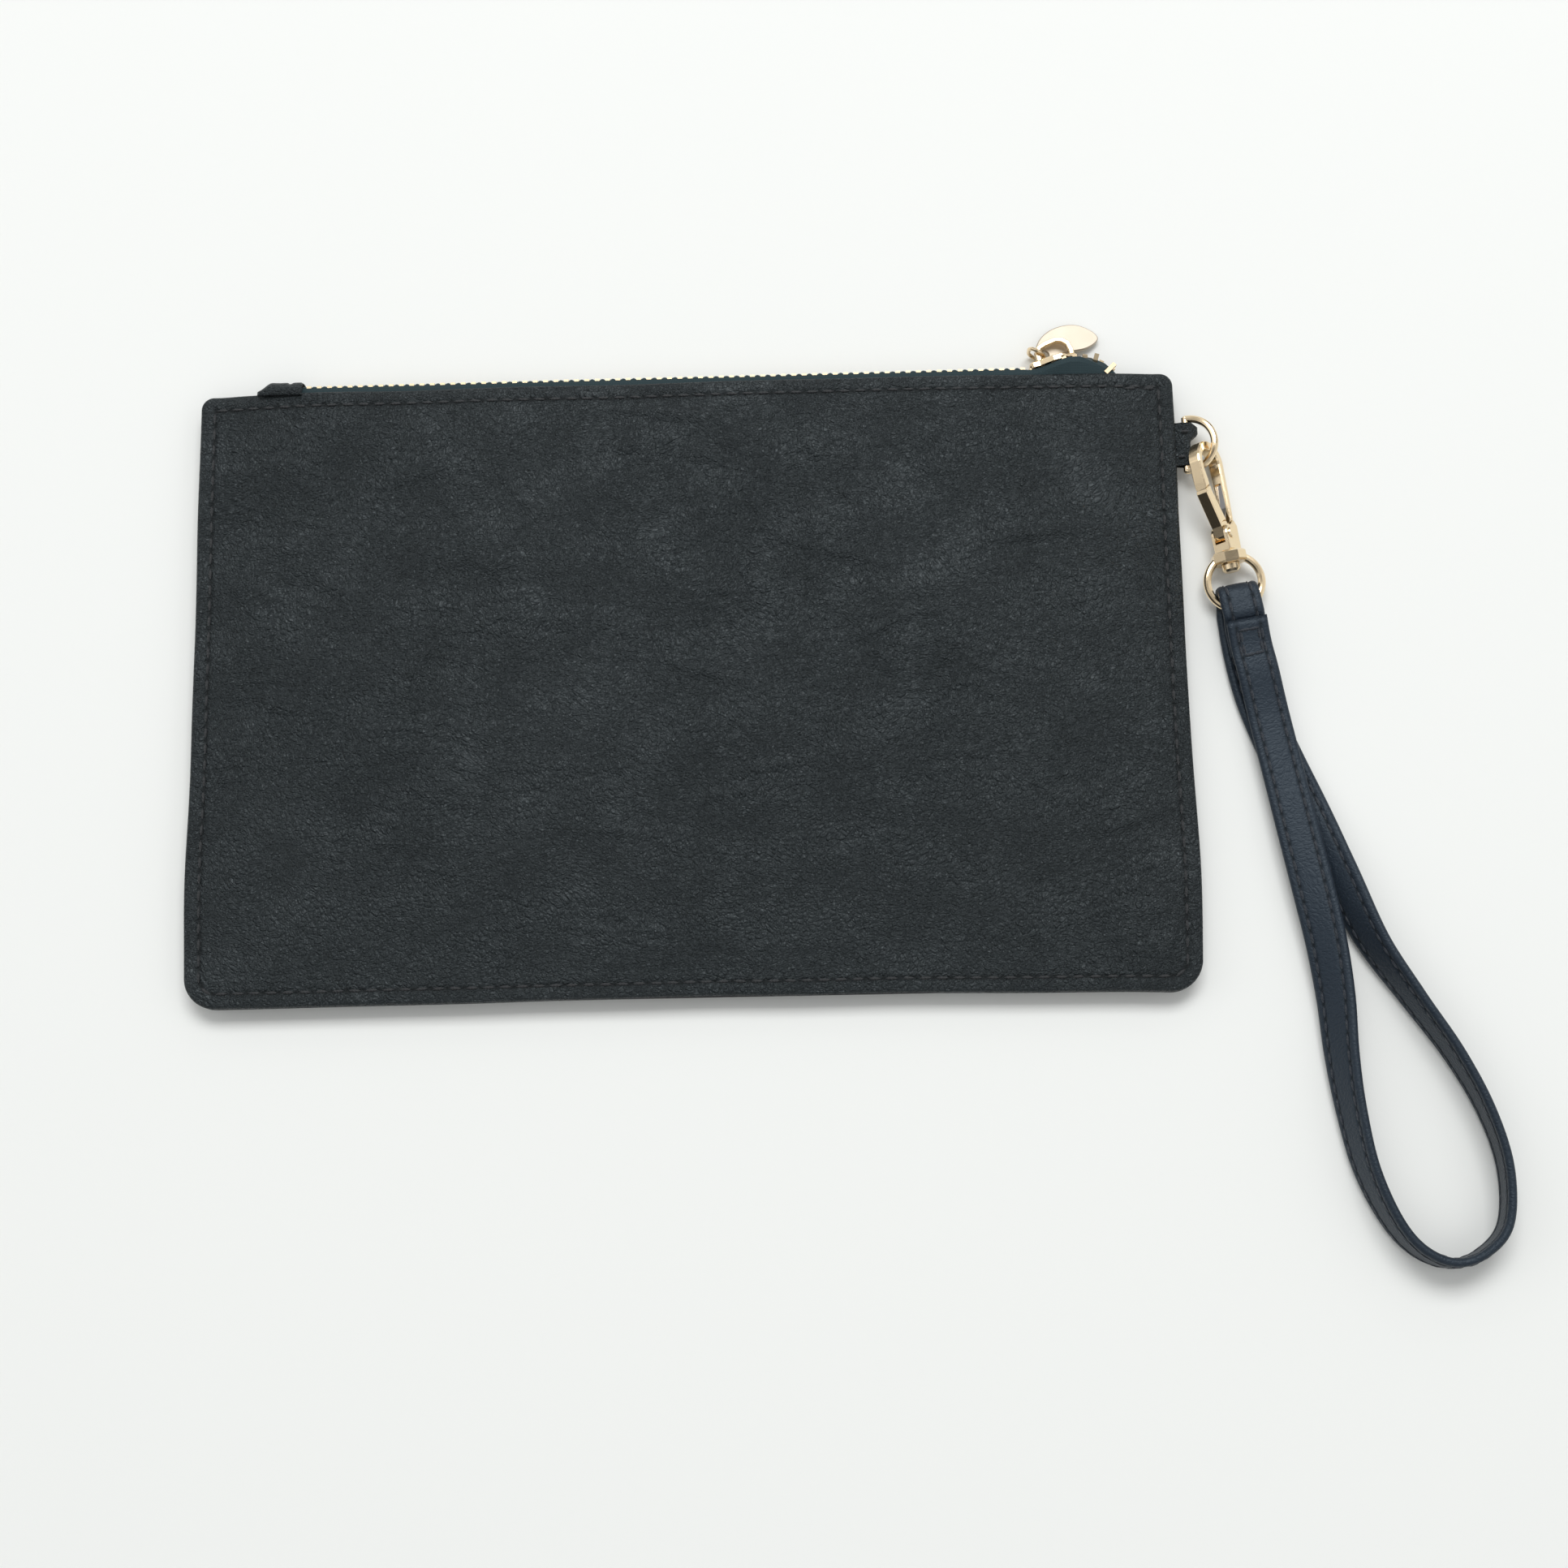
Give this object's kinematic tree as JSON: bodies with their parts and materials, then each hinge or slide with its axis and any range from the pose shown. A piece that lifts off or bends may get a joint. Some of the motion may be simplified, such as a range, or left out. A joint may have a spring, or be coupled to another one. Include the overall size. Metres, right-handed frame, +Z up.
{
  "type": "wristlet wallet",
  "caption": "Flat zipped leather pouch lying on its back, with a wrist strap on a swivel lobster clasp at its side.",
  "frame": {"origin": "middle of the back panel's flat resting face", "axes": "+X along the zipper towards the clasp, +Y towards the zipper, +Z up out of the front panel"},
  "size_m": [0.296, 0.2215, 0.01],
  "materials": {
    "leather": "pebbled, semi-gloss",
    "lining_cloth": "woven, matte",
    "zipper_tape": "woven tape",
    "zipper_metal": "pale gold plate",
    "slider_metal": "polished pale gold plate",
    "clasp_metal": "polished pale gold plate",
    "spring_steel": "bright"
  },
  "bodies": {
    "pouch": {"front_panel": "leather", "back_panel": "leather", "lining_front": "lining_cloth", "lining_back": "lining_cloth", "zipper_tape_front": "zipper_tape", "zipper_tape_back": "zipper_tape", "zipper_teeth_front": "zipper_metal", "zipper_teeth_back": "zipper_metal", "top_stop_front": "zipper_metal", "top_stop_back": "zipper_metal", "bottom_stop": "zipper_metal", "zipper_end_tab": "leather", "side_tab": "leather"},
    "slider": {"slider_body": "slider_metal"},
    "link": {"pull_link": "slider_metal"},
    "pull": {"pull_tab": "slider_metal"},
    "dring": {"side_ring": "clasp_metal"},
    "clasp": {"hook_body": "clasp_metal", "gate_pin": "clasp_metal", "gate_spring": "spring_steel", "swivel_rivet": "clasp_metal"},
    "gate": {"hook_gate": "clasp_metal"},
    "swivel": {"swivel_ring": "clasp_metal"},
    "strap": {"wrist_strap": "leather"}
  },
  "joints": [
    {"name": "slider_slide", "type": "slide", "parent": "pouch", "child": "slider", "axis": [1, 0, 0], "range_m": [-0.168, 0.0065], "deforming": ["zipper_tape_front", "zipper_tape_back", "zipper_teeth_front", "zipper_teeth_back"]},
    {"name": "pull_link_swing", "type": "hinge", "parent": "slider", "child": "link", "pos_m": [0.08356, 0.0789, 0.0042], "axis": [0, 0, 1], "range_deg": [-2, 42]},
    {"name": "pull_tab_swing", "type": "hinge", "parent": "link", "child": "pull", "pos_m": [0.08517, 0.07808, 0.00245], "axis": [0, 0, 1], "range_deg": [-2, 10]},
    {"name": "ring_flip", "type": "hinge", "parent": "pouch", "child": "dring", "pos_m": [0.1176, 0.0554, 0.0042], "axis": [0, -1, 0], "range_deg": [-60, 50]},
    {"name": "clasp_on_ring", "type": "hinge", "parent": "dring", "child": "clasp", "pos_m": [0.11807, 0.0554, 0.00437], "axis": [-0.342, 0, 0.9397], "range_deg": [-2, 45]},
    {"name": "gate_hinge", "type": "hinge", "parent": "clasp", "child": "gate", "pos_m": [0.1253, 0.03339, 0.00402], "axis": [-0.7478, -0.1055, -0.6554], "range_deg": [0, 22], "stiffness_Nm_per_rad": 0.02, "deforming": ["gate_spring"]},
    {"name": "swivel", "type": "hinge", "parent": "clasp", "child": "swivel", "pos_m": [0.12635, 0.0279, 0.0037], "axis": [-0.1769, 0.9833, 0.0436], "continuous": true},
    {"name": "strap_fold", "type": "hinge", "parent": "swivel", "child": "strap", "pos_m": [0.12849, 0.016, 0.00317], "axis": [0.9842, 0.1771, 0], "range_deg": [-6, 6]}
  ]
}
